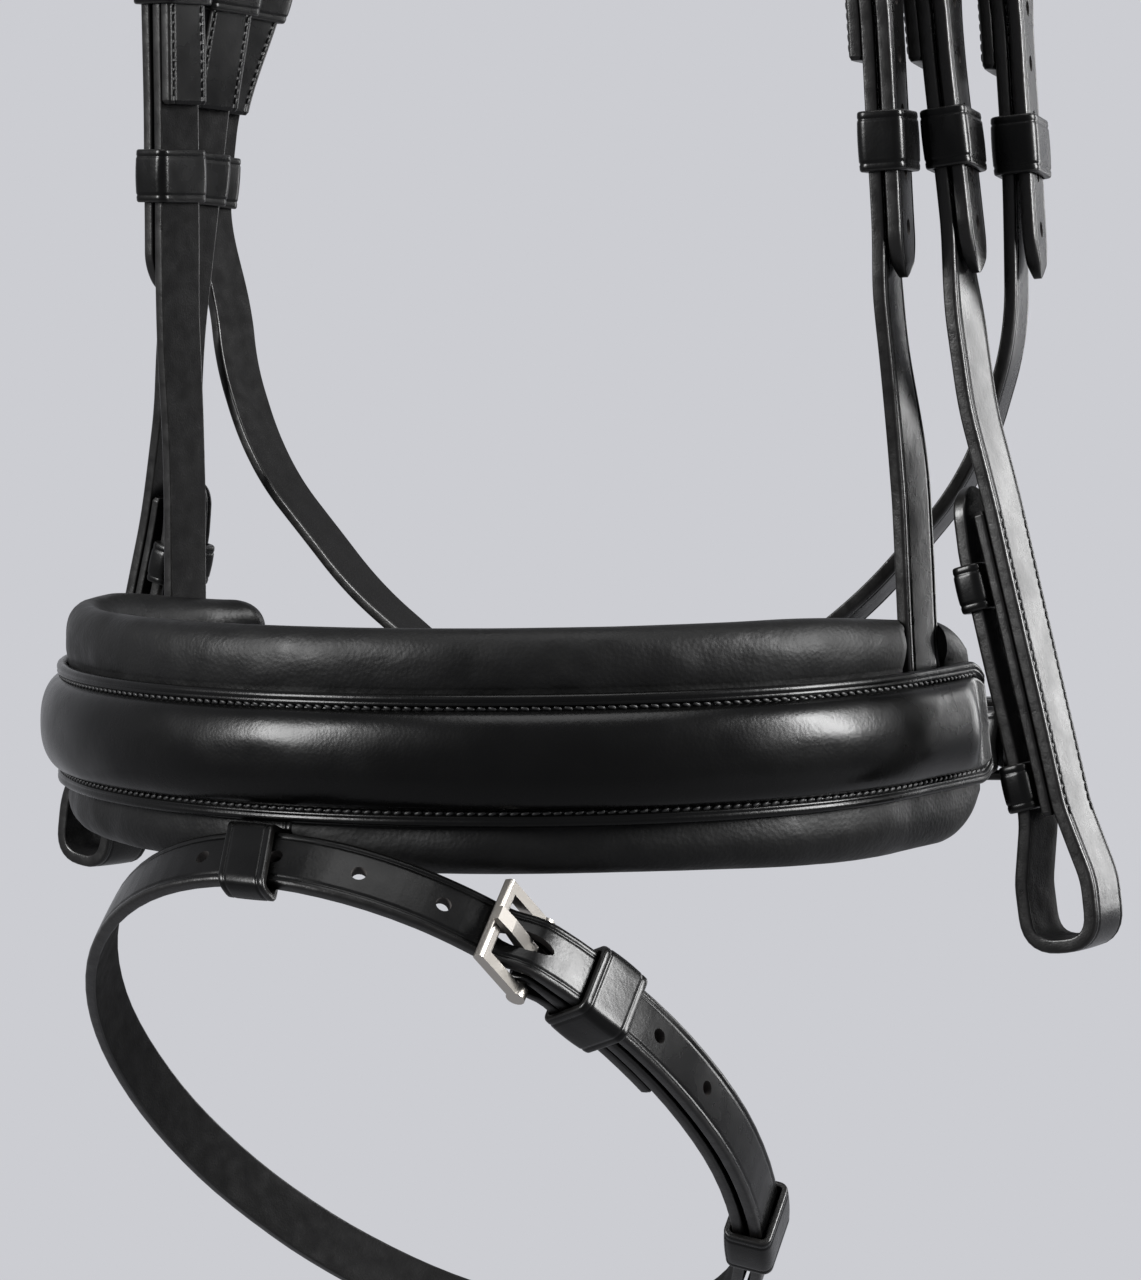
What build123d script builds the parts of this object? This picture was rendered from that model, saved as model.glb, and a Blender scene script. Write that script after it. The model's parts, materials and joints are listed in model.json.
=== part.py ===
from build123d import *
import os
from math import cos, hypot, radians, sin, tan

# Padded snaffle bridle with a raised flash noseband, hanging as it would on a hook.
# +X is the horse's near (left) side, +Y runs back from the nose, +Z is up.
# The origin is the middle of the headpiece pad's underside, where it rests on the poll.
SIDES = {"near": 1, "off": -1}

# Heights are given above the noseband's middle and dropped by this much.
NOSE_DROP = 410.0

# Leather and hardware shared by every buckled strap
STRAP_T = 3.2
CHAPE_T = 2.8
CHAPE_LEN = 41.0
BILLET_LEN = 86.5
BILLET_U = 5.3
MAIN_U = 1.8
BAR_R = 1.3
FRAME_LEN = 13.0
FRAME_TILT = 25.0
FRAME_SIDE = 2.4
RING_LIFT = 3.9
RING_CHAPE_LEN = 9.0
KEEPER_T = 1.6
KEEPER_LEN = 13.0
RUNNER_V = -58.0
FIXED_V = -12.5

# Upper stations: buckle bar position, and how far each strap leans out and back going down
STATIONS = {
    "hanger": {"x": 93.5, "y": -5.0, "tilt": 2.2, "lean": 2.5, "width": 13.0},
    "cheek": {"x": 94.5, "y": 16.5, "tilt": 8.0, "lean": -0.5, "width": 15.0},
    "throat": {"x": 101.5, "y": 38.0, "tilt": 5.5, "lean": -1.5, "width": 13.0},
}
BAR_Z = 183.0 - NOSE_DROP
HINGE_Z = 205.0 - NOSE_DROP
LEG_X = 95.5

# Headpiece
CROWN_R = 95.5
PAD_T = 8.0
ARCH_Z = -(CROWN_R - STRAP_T / 2 - 0.5 - PAD_T)
CROWN_FRONT = -11.5
CROWN_BACK = 44.5

# Browband
BROW_Z = 245.0 - NOSE_DROP
BROW_H = 20.0
BROW_DEPTH = 80.0

# Noseband: half width and depth of the shell's inner face
NOSE_A = 104.0
NOSE_B = 94.0
SHELL_H = 28.0
SHELL_T = 2.4
SHELL_BACK = 35.0
ROLL_HALF = 10.8
ROLL_RISE = 6.3
LINING_T = 9.0
LINING_TOP = 24.5
LINING_STEP = -16.0
LINING_BOTTOM = -23.5
LINING_BACK = 31.5

# Jaw strap behind the noseband
JAW_A = 101.4
JAW_B = 50.0
JAW_Z = -4.0 - NOSE_DROP
JAW_W = 14.0
JAW_BUCKLE_DEG = 38.0

# Flash ring: an ellipse in a plane that falls away to the back and rises to the near side
FLASH_FALL = 44.6
FLASH_ROLL = 5.8
FLASH_A = 71.3
FLASH_B = 88.0
FLASH_W = 13.0
FLASH_T = 2.8
FLASH_FRONT = (5.6, -102.5, -22.3 - NOSE_DROP)
FLASH_BUCKLE_DEG = -39.0
TAB_W = 12.0

# Cheekpiece: bend over the cheek, doubled part, and the loop for the bit ring
BEND_V = -115.0
BEND_TILT = 7.0
DOUBLED = (-137.0, -202.0)
LOOP_U = 9.2
LOOP_HALF = 7.4
LOOP_V = -229.4
RETURN_BEND_V = -146.0
RETURN_TIP_V = -131.0
RETURN_TILT = 7.3
LOOP_KEEPER_V = {"upper": -152.0, "lower": -195.0}


def station_plane(side, s):
    """Plane with +x out from the face, +y up the strap, +z across the strap."""
    tilt = radians(s["tilt"])
    lean = radians(s["lean"])
    return Plane(
        origin=(side * s["x"], s["y"], BAR_Z),
        x_dir=(side * cos(tilt), -sin(tilt) * sin(lean), sin(tilt) * cos(lean)),
        z_dir=(0, -side * cos(lean), -side * sin(lean)),
    )


def cheek_u(v):
    """Middle of the cheekpiece's outer layer at height v."""
    return MAIN_U + max(0.0, BEND_V - v) * tan(radians(BEND_TILT))


def return_u(v):
    """Middle of the strap end that comes back up inside the cheekpiece."""
    return 4.4 - (min(v, RETURN_BEND_V) - DOUBLED[1]) * tan(radians(RETURN_TILT))


def turned(plane, degrees):
    """The same plane turned about its own normal."""
    angle = radians(degrees)
    x_dir = plane.x_dir * cos(angle) + plane.y_dir * sin(angle)
    return Plane(origin=plane.origin, x_dir=x_dir, z_dir=plane.z_dir)


def facing(plane):
    """Plane flat on the strap's face, +y still up the strap."""
    return Plane(origin=plane.origin, x_dir=-plane.z_dir, z_dir=plane.x_dir)


def across(plane, v):
    """Plane cutting a strap square at height v."""
    origin = plane.from_local_coords(Vector(0, v, 0))
    return Plane(origin=origin, x_dir=plane.x_dir, z_dir=plane.y_dir)


def save(part, label):
    part.label = label
    export_step(part, f"parts/{label}.step")


def buckle(plane, width, frame_label, tongue_label):
    """Single-bar buckle frame and its tongue, tilted over the billet."""
    tilted = turned(plane, -FRAME_TILT)
    inner = width / 2 + 0.8
    outer = inner + FRAME_SIDE
    with BuildPart() as frame:
        with BuildSketch(tilted.offset(-outer)):
            Circle(2.0)
            with Locations((0, FRAME_LEN / 2)):
                Rectangle(2.4, FRAME_LEN)
            with Locations((0, FRAME_LEN)):
                RectangleRounded(2.4, 2.8, 0.7)
        extrude(amount=FRAME_SIDE)
        with BuildSketch(tilted.offset(inner)):
            Circle(2.0)
            with Locations((0, FRAME_LEN / 2)):
                Rectangle(2.4, FRAME_LEN)
            with Locations((0, FRAME_LEN)):
                RectangleRounded(2.4, 2.8, 0.7)
        extrude(amount=FRAME_SIDE)
        with BuildSketch(tilted):
            with Locations((0, FRAME_LEN)):
                RectangleRounded(2.4, 2.8, 0.7)
        extrude(amount=inner + 0.5, both=True)
        with BuildSketch(tilted):
            Circle(BAR_R)
        extrude(amount=inner + 0.5, both=True)
    save(frame.part, frame_label)

    with BuildPart() as tongue:
        with BuildSketch(tilted):
            Circle(2.9)
            with BuildLine():
                Polyline(
                    (0.2, 1.2), (1.5, 10.8), (1.5, 15.6), (3.0, 15.6),
                    (3.2, 10.8), (2.6, 1.2), close=True,
                )
            make_face()
            Circle(BAR_R + 0.06, mode=Mode.SUBTRACT)
        extrude(amount=1.6, both=True)
    save(tongue.part, tongue_label)


def keeper(plane, v, u_low, u_high, width, label, gap=0.35, length=KEEPER_LEN):
    """Leather loop round the layers between u_low and u_high."""
    inner_u = u_high - u_low + 2 * gap
    inner_w = width + 2 * gap
    middle = (u_high + u_low) / 2
    with BuildPart() as loop:
        with BuildSketch(across(plane, v - length / 2)):
            with Locations((middle, 0)):
                RectangleRounded(inner_u + 2 * KEEPER_T, inner_w + 2 * KEEPER_T, 1.6)
                Rectangle(inner_u, inner_w, mode=Mode.SUBTRACT)
        extrude(amount=length)
    save(loop.part, label)


def billet(plane, width, label):
    """Holed strap end that passes through the buckle and lies over the strap."""
    with BuildPart() as strap:
        with BuildSketch(plane):
            with BuildLine():
                FilletPolyline(
                    (MAIN_U, 21.0), (MAIN_U, 9.5), (BILLET_U, 1.0),
                    (BILLET_U, -BILLET_LEN), radius=4.0,
                )
            trace(line_width=STRAP_T)
        extrude(amount=width / 2, both=True)
        with BuildSketch(facing(plane)):
            with Locations((0, 6.2)):
                SlotOverall(16.0, 4.4, rotation=90)
        extrude(amount=9.0, mode=Mode.SUBTRACT)
        for step in range(5):
            with BuildSketch(facing(plane)):
                with Locations((0, -28.0 - 12.0 * step)):
                    Circle(1.6)
            extrude(amount=9.0, mode=Mode.SUBTRACT)
        with BuildSketch(facing(plane)):
            for hand in (1, -1):
                with BuildLine():
                    Polyline(
                        (hand * width / 2, -BILLET_LEN + width * 0.62),
                        (hand * 1.0, -BILLET_LEN),
                        (hand * width / 2, -BILLET_LEN - 1.0),
                        (hand * (width / 2 + 1.0), -BILLET_LEN + width * 0.62),
                        close=True,
                    )
                make_face()
        extrude(amount=9.0, mode=Mode.SUBTRACT)
    save(strap.part, label)


def fold_cut(plane):
    """Bar hole and tongue notch, cut out of the fold round a buckle bar."""
    with BuildPart() as cut:
        with BuildSketch(plane):
            Circle(1.6)
        extrude(amount=30.0, both=True)
        with BuildSketch(plane):
            Rectangle(9.0, 7.6)
        extrude(amount=2.2, both=True)
    return cut.part


def folded_end(plane, width, length):
    """Doubled, stitched strap end that holds the buckle bar."""
    with BuildPart() as fold:
        with BuildSketch(plane):
            with Locations(((MAIN_U + STRAP_T / 2 - CHAPE_T) / 2, -length / 2)):
                Rectangle(MAIN_U + STRAP_T / 2 + CHAPE_T, length)
            Circle(3.4)
        extrude(amount=width / 2, both=True)
    return fold.part


def nose_path(offset, back):
    """U-shaped line round the nose, offset in or out of the shell's inner face."""
    a = NOSE_A + offset
    b = NOSE_B + offset
    Line((a, back), (a, 0))
    EllipticalCenterArc((0, 0), a, b, start_angle=180, arc_size=180)
    Line((-a, 0), (-a, back))


def ring_point(a, b, degrees, offset):
    """Point on an ellipse, moved out along its normal."""
    angle = radians(degrees)
    normal = (cos(angle) / a, sin(angle) / b)
    size = hypot(*normal)
    return (
        a * cos(angle) + offset * normal[0] / size,
        b * sin(angle) + offset * normal[1] / size,
    )


def ring_station(base, a, b, degrees, turn):
    """Strap plane standing on an ellipse; +y points the way the billet comes from."""
    x, y = ring_point(a, b, degrees, 0)
    out_x, out_y = ring_point(a, b, degrees, 1)
    out = base.x_dir * (out_x - x) + base.y_dir * (out_y - y)
    return Plane(origin=base.from_local_coords(Vector(x, y, 0)), x_dir=out, z_dir=base.z_dir * turn)


def eased(value, start, end):
    """0 before start, 1 after end, smooth between them."""
    t = min(max((value - start) / (end - start), 0.0), 1.0)
    return t * t * (3 - 2 * t)


os.makedirs("parts", exist_ok=True)

# Upper buckles, billets and keepers, both sides
for side_name, side in SIDES.items():
    for strap_name, s in STATIONS.items():
        station = station_plane(side, s)
        tag = f"{strap_name}_%s_{side_name}"
        buckle(station, s["width"], tag % "buckle", tag % "tongue")
        billet(station, s["width"], tag % "billet")
        keeper(station, FIXED_V, -CHAPE_T, BILLET_U + STRAP_T / 2, s["width"],
               tag % "keeper_fixed", gap=0.2, length=10.0)
        keeper(station, RUNNER_V, MAIN_U - STRAP_T / 2, BILLET_U + STRAP_T / 2,
               s["width"], tag % "keeper")

# Noseband hangers, cheekpieces
for side_name, side in SIDES.items():
    s = STATIONS["hanger"]
    station = station_plane(side, s)
    with BuildPart() as hanger:
        with BuildSketch(station):
            with Locations((MAIN_U, -89.0)):
                Rectangle(STRAP_T, 178.0)
        extrude(amount=s["width"] / 2, both=True)
        add(folded_end(station, s["width"], CHAPE_LEN))
        add(fold_cut(station), mode=Mode.SUBTRACT)
    save(hanger.part, f"noseband_hanger_{side_name}")

    s = STATIONS["cheek"]
    station = station_plane(side, s)
    with BuildPart() as cheekpiece:
        with BuildSketch(station):
            with BuildLine():
                FilletPolyline(
                    (MAIN_U, 0), (MAIN_U, BEND_V), (cheek_u(-200.0), -200.0),
                    (LOOP_U + LOOP_HALF + 0.4, LOOP_V + 13), (LOOP_U + LOOP_HALF, LOOP_V),
                    (LOOP_U - LOOP_HALF, LOOP_V), (LOOP_U - LOOP_HALF - 0.4, LOOP_V + 13),
                    (return_u(DOUBLED[1]), DOUBLED[1]), (return_u(RETURN_BEND_V), RETURN_BEND_V),
                    (return_u(RETURN_TIP_V), RETURN_TIP_V),
                    radius=5.0,
                )
            trace(line_width=STRAP_T)
            with BuildLine():
                Polyline(*[(cheek_u(v) - 2.85, v) for v in DOUBLED])
            trace(line_width=2.6)
        extrude(amount=s["width"] / 2, both=True)
        add(folded_end(station, s["width"], CHAPE_LEN))
        add(fold_cut(station), mode=Mode.SUBTRACT)
    save(cheekpiece.part, f"cheekpiece_{side_name}")
    for place, v in LOOP_KEEPER_V.items():
        along = Plane(
            origin=station.from_local_coords(Vector(return_u(v), v, 0)),
            x_dir=station.x_dir, z_dir=station.z_dir,
        )
        keeper(turned(along, RETURN_TILT), 0.0, -STRAP_T / 2, STRAP_T / 2, s["width"],
               f"cheek_loop_keeper_{place}_{side_name}", gap=0.25, length=10.0)

# Throatlash: one strap in a U from buckle to buckle
s = STATIONS["throat"]
lean = radians(s["lean"])
throat_plane = Plane(origin=(0, s["y"], BAR_Z), x_dir=(1, 0, 0), z_dir=(0, -cos(lean), -sin(lean)))
with BuildPart() as throatlash:
    with BuildSketch(throat_plane):
        with BuildLine():
            tilt = radians(s["tilt"])
            top = (s["x"] + MAIN_U * cos(tilt), MAIN_U * sin(tilt))
            low = (top[0] + 92.0 * sin(tilt), top[1] - 92.0 * cos(tilt))
            half = [top, low, (100.0, -131.0), (40.0, -179.0)]
            FilletPolyline(*half, *[(-x, z) for x, z in reversed(half)], radius=50.0)
        trace(line_width=STRAP_T)
    extrude(amount=s["width"] / 2, both=True)
    for side in SIDES.values():
        station = station_plane(side, s)
        add(folded_end(station, s["width"], CHAPE_LEN))
        add(fold_cut(station), mode=Mode.SUBTRACT)
save(throatlash.part, "throatlash")

# Headpiece: arch with three legs a side, and the pad beneath it
with BuildPart() as headpiece:
    with BuildSketch(Plane.XZ.offset(-CROWN_FRONT)):
        with BuildLine():
            Line((LEG_X, HINGE_Z + 1), (LEG_X, ARCH_Z))
            CenterArc((0, ARCH_Z), CROWN_R, 0, 180)
            Line((-LEG_X, ARCH_Z), (-LEG_X, HINGE_Z + 1))
        trace(line_width=STRAP_T)
    extrude(amount=CROWN_FRONT - CROWN_BACK)
    for low, high in ((1.5, 9.0), (24.0, 31.5)):
        with BuildSketch(Plane.YZ):
            with Locations(((low + high) / 2, HINGE_Z + 42.0)):
                SlotOverall(90.0, high - low, rotation=90)
        extrude(amount=LEG_X + 10, both=True, mode=Mode.SUBTRACT)
save(headpiece.part, "headpiece")

with BuildPart() as headpiece_pad:
    with BuildSketch(Plane.XZ.offset(15.5)):
        with BuildLine():
            CenterArc((0, ARCH_Z), CROWN_R - STRAP_T / 2 - 0.5 - PAD_T / 2, 28, 124)
        trace(line_width=PAD_T)
    extrude(amount=-66.0)
save(headpiece_pad.part, "headpiece_pad")

# Browband: a band bowed across the forehead, with a closed loop round each side's legs
brow_x = LEG_X + STRAP_T / 2 + 2.0
with BuildPart() as browband:
    with BuildSketch(Plane.XY.offset(BROW_Z - BROW_H / 2)):
        with BuildLine():
            Line((brow_x, CROWN_BACK + 2.0), (brow_x, CROWN_FRONT - 2.0))
            EllipticalCenterArc((0, CROWN_FRONT - 2.0), brow_x, BROW_DEPTH,
                                start_angle=180, arc_size=180)
            Line((-brow_x, CROWN_FRONT - 2.0), (-brow_x, CROWN_BACK + 2.0))
        trace(line_width=2.8)
        for side in SIDES.values():
            with Locations((side * LEG_X, (CROWN_FRONT + CROWN_BACK) / 2)):
                Rectangle(STRAP_T + 6.0, CROWN_BACK - CROWN_FRONT + 6.0)
                Rectangle(STRAP_T + 1.2, CROWN_BACK - CROWN_FRONT + 1.2, mode=Mode.SUBTRACT)
    extrude(amount=BROW_H)
save(browband.part, "browband")

with BuildPart() as browband_lining:
    with BuildSketch(Plane.XY.offset(BROW_Z - BROW_H / 2 - 3.0)):
        with BuildLine():
            EllipticalCenterArc((0, CROWN_FRONT - 2.0), brow_x - 4.4, BROW_DEPTH - 4.4,
                                start_angle=188, arc_size=164)
        trace(line_width=5.4)
    extrude(amount=BROW_H + 6.0)
save(browband_lining.part, "browband_lining")

# Noseband shell: flat flanges with a raised roll between them
shell_start = Plane(origin=(NOSE_A, SHELL_BACK, -NOSE_DROP), x_dir=(1, 0, 0), z_dir=(0, -1, 0))
with BuildPart() as noseband_shell:
    with BuildLine(Plane.XY.offset(-NOSE_DROP)):
        nose_path(0, SHELL_BACK)
    with BuildSketch(shell_start):
        with BuildLine():
            Line((0, -SHELL_H / 2), (SHELL_T, -SHELL_H / 2))
            Line((SHELL_T, -SHELL_H / 2), (SHELL_T, -ROLL_HALF))
            ThreePointArc((SHELL_T, -ROLL_HALF), (ROLL_RISE, 0), (SHELL_T, ROLL_HALF))
            Line((SHELL_T, ROLL_HALF), (SHELL_T, SHELL_H / 2))
            Line((SHELL_T, SHELL_H / 2), (0, SHELL_H / 2))
            Line((0, SHELL_H / 2), (0, ROLL_HALF - 2.2))
            ThreePointArc((0, ROLL_HALF - 2.2), (ROLL_RISE - SHELL_T, 0), (0, 2.2 - ROLL_HALF))
            Line((0, 2.2 - ROLL_HALF), (0, -SHELL_H / 2))
        make_face()
    sweep()
save(noseband_shell.part, "noseband_shell")

# Filling of the roll, closed in behind the shell
with BuildPart() as noseband_filler:
    with BuildLine(Plane.XY.offset(-NOSE_DROP)):
        nose_path(0, SHELL_BACK - 2.0)
    filler_start = Plane(
        origin=(NOSE_A, SHELL_BACK - 2.0, -NOSE_DROP), x_dir=(1, 0, 0), z_dir=(0, -1, 0)
    )
    with BuildSketch(filler_start):
        with BuildLine():
            Line((0.3, 3.0 - ROLL_HALF), (0.3, ROLL_HALF - 3.0))
            ThreePointArc((0.3, ROLL_HALF - 3.0), (ROLL_RISE - SHELL_T - 0.4, 0),
                          (0.3, 3.0 - ROLL_HALF))
        make_face()
    sweep()
save(noseband_filler.part, "noseband_filler")

# Padded lining, pocketed where the hangers and jaw straps are stitched in
with BuildPart() as noseband_lining:
    for low, high, inset, thick in (
        (LINING_STEP, LINING_TOP, 0.3, LINING_T),
        (LINING_BOTTOM, LINING_STEP, 4.8, LINING_T - 5.0),
    ):
        with BuildSketch(Plane.XY.offset(low - NOSE_DROP)):
            with BuildLine():
                nose_path(-inset - thick / 2, LINING_BACK)
            trace(line_width=thick)
        extrude(amount=high - low)
    for side in SIDES.values():
        hanger_y = STATIONS["hanger"]["y"] + 169.0 * tan(radians(STATIONS["hanger"]["lean"]))
        with Locations((side * (NOSE_A - 0.3), hanger_y, 14.0 - NOSE_DROP)):
            Box(11.0, 16.0, 30.0, mode=Mode.SUBTRACT)
        with Locations((side * (NOSE_A - 0.3), LINING_BACK, JAW_Z)):
            Box(11.0, 26.0, JAW_W + 1.0, mode=Mode.SUBTRACT)
save(noseband_lining.part, "noseband_lining")

# Jaw strap: a buckled piece on the near side and a holed piece round from the off side
jaw_base = Plane(origin=(0, SHELL_BACK, JAW_Z), x_dir=(1, 0, 0), z_dir=(0, 0, 1))
jaw_buckle = ring_station(jaw_base, JAW_A - MAIN_U, JAW_B - MAIN_U, JAW_BUCKLE_DEG, 1)
with BuildPart() as jaw_strap_near:
    with BuildSketch(jaw_base):
        with BuildLine():
            Line((JAW_A, LINING_BACK - SHELL_BACK - 12.0), (JAW_A, 0))
            EllipticalCenterArc((0, 0), JAW_A, JAW_B, start_angle=0, arc_size=JAW_BUCKLE_DEG)
        trace(line_width=STRAP_T)
    extrude(amount=JAW_W / 2, both=True)
    add(folded_end(jaw_buckle, JAW_W, RING_CHAPE_LEN))
    add(fold_cut(jaw_buckle), mode=Mode.SUBTRACT)
save(jaw_strap_near.part, "jaw_strap_near")

with BuildPart() as jaw_strap_off:
    with BuildSketch(jaw_base):
        with BuildLine():
            path = [(-JAW_A, LINING_BACK - SHELL_BACK - 12.0), (-JAW_A, -6.0)]
            for degrees in [*range(176, 56, -6), *range(54, 6, -2)]:
                lift = RING_LIFT * (1 - eased(degrees, JAW_BUCKLE_DEG + 1, JAW_BUCKLE_DEG + 8.5))
                path.append(ring_point(JAW_A, JAW_B, degrees, lift))
            Spline(*path)
        trace(line_width=STRAP_T)
    extrude(amount=JAW_W / 2, both=True)
    with BuildSketch(facing(jaw_buckle)):
        with Locations((0, 6.2)):
            SlotOverall(16.0, 4.4, rotation=90)
    extrude(amount=12.0, mode=Mode.SUBTRACT)
save(jaw_strap_off.part, "jaw_strap_off")
buckle(jaw_buckle, JAW_W, "jaw_buckle", "jaw_tongue")
jaw_keeper = ring_station(jaw_base, JAW_A - MAIN_U, JAW_B - MAIN_U, 17.0, 1)
keeper(jaw_keeper, 0.0, MAIN_U - STRAP_T / 2, MAIN_U + RING_LIFT + STRAP_T / 2, JAW_W,
       "jaw_keeper", gap=1.1, length=9.0)

# Flash: fixed tab, hanging loop, and a strap that runs right round to its own buckle
with BuildPart() as flash_tab:
    with BuildSketch(Plane.YZ):
        with Locations((-NOSE_B - 1.2, -15.3 - NOSE_DROP)):
            Rectangle(1.4, 2.4)
    extrude(amount=TAB_W / 2, both=True)
save(flash_tab.part, "flash_tab")

fall = radians(FLASH_FALL)
roll = radians(FLASH_ROLL)
flash_centre = (
    FLASH_FRONT[0],
    FLASH_FRONT[1] + FLASH_B * cos(fall),
    FLASH_FRONT[2] - FLASH_B * sin(fall),
)
flash_base = Plane(
    origin=flash_centre,
    x_dir=(cos(roll), sin(fall) * sin(roll), cos(fall) * sin(roll)),
    z_dir=(-sin(roll), sin(fall) * cos(roll), cos(fall) * cos(roll)),
)
with BuildPart() as flash_loop:
    hung_at = ring_station(flash_base, FLASH_A, FLASH_B, -94.5, -1)
    with BuildSketch(across(hung_at, -TAB_W / 2)):
        RectangleRounded(FLASH_T + 4.4, FLASH_W + 4.0, 2.0)
        RectangleRounded(FLASH_T + 1.2, FLASH_W + 0.8, 1.0, mode=Mode.SUBTRACT)
    extrude(amount=TAB_W)
save(flash_loop.part, "flash_loop")

flash_buckle = ring_station(flash_base, FLASH_A - MAIN_U, FLASH_B - MAIN_U,
                            FLASH_BUCKLE_DEG, -1)
with BuildPart() as flash_strap:
    with BuildSketch(flash_base):
        with BuildLine():
            path = []
            for degrees in [*range(-39, 303, 8), *range(307, 331, 2), *range(332, 409, 7)]:
                lift = RING_LIFT * eased(degrees, 314.5, 320.5)
                path.append(ring_point(FLASH_A, FLASH_B, degrees, lift))
            Spline(*path)
        trace(line_width=FLASH_T)
    extrude(amount=FLASH_W / 2, both=True)
    add(folded_end(flash_buckle, FLASH_W, RING_CHAPE_LEN))
    add(fold_cut(flash_buckle), mode=Mode.SUBTRACT)
    with BuildSketch(facing(flash_buckle)):
        with Locations((0, 6.4)):
            SlotOverall(17.0, 4.4, rotation=90)
    extrude(amount=12.0, mode=Mode.SUBTRACT)
save(flash_strap.part, "flash_strap")
buckle(flash_buckle, FLASH_W, "flash_buckle", "flash_tongue")
for degrees, label, length in ((-28.0, "flash_keeper_fixed", 10.0), (26.0, "flash_keeper", 13.0)):
    at = ring_station(flash_base, FLASH_A - MAIN_U, FLASH_B - MAIN_U, degrees, -1)
    keeper(at, 0.0, MAIN_U - FLASH_T / 2, MAIN_U + RING_LIFT + FLASH_T / 2, FLASH_W, label,
           gap=0.7, length=length)
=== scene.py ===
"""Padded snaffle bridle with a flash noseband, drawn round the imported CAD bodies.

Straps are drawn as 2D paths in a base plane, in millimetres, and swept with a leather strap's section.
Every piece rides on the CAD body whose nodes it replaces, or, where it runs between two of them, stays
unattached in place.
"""

import json
import math
import random

import bmesh
import bpy
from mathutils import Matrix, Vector, noise


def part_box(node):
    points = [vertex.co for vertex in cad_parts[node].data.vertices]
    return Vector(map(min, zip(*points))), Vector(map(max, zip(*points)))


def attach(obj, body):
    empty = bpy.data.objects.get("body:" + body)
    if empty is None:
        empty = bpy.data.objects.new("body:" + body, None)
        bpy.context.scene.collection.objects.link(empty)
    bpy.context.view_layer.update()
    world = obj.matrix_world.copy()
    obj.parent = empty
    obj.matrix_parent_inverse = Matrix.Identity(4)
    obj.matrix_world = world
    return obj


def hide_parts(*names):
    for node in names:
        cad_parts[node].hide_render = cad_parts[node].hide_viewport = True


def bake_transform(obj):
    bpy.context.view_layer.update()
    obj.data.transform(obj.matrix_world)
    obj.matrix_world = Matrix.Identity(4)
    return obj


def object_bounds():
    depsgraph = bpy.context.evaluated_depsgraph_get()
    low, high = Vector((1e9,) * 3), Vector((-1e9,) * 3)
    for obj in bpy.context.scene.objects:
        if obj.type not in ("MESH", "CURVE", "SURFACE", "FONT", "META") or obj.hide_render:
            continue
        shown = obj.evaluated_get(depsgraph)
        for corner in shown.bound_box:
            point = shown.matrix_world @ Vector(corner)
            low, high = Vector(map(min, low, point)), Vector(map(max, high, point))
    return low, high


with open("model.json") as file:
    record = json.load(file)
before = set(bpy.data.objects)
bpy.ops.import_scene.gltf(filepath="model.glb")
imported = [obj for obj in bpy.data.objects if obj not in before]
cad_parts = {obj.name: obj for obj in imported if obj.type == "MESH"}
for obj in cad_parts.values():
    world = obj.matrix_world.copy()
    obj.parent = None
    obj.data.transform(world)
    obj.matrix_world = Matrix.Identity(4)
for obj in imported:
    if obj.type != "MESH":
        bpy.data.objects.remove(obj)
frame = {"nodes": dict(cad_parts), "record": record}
cad_low, cad_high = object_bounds()
JOINTS = {j["name"]: j for j in frame["record"]["behaviour"]["joints"]}
random.seed(11)

MM = 0.001
SIDES = {"near": 1, "off": -1}

# a strap's finish, in millimetres
CREASE_IN = 1.7
CREASE_DEPTH = 0.16
EDGE_RADIUS = 0.8
STITCH_PITCH = 2.2
STITCH_RADIUS = 0.33
SHARP_ANGLE = math.radians(38)


# ---------------------------------------------------------------- materials
def shader_of(mat):
    return mat.node_tree.nodes["Principled BSDF"]


def material(name, base, rough, metallic=0.0, spec=0.5):
    mat = bpy.data.materials.new(name)
    mat.use_nodes = True
    shader = shader_of(mat)
    shader.inputs["Base Color"].default_value = (*base, 1)
    shader.inputs["Roughness"].default_value = rough
    shader.inputs["Metallic"].default_value = metallic
    shader.inputs["Specular IOR Level"].default_value = spec
    return mat


def link(mat, source, target):
    mat.node_tree.links.new(source, target)


def node(mat, kind, **values):
    n = mat.node_tree.nodes.new(kind)
    for key, value in values.items():
        if key in n.inputs:
            n.inputs[key].default_value = value
        else:
            setattr(n, key, value)
    return n


def add_bump(mat, height, distance, strength=1.0, under=None):
    """A bump from this height output, laid over the one under it."""
    bump = node(mat, "ShaderNodeBump", Strength=strength, Distance=distance)
    link(mat, height, bump.inputs["Height"])
    if under:
        link(mat, under.outputs["Normal"], bump.inputs["Normal"])
    return bump


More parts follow.
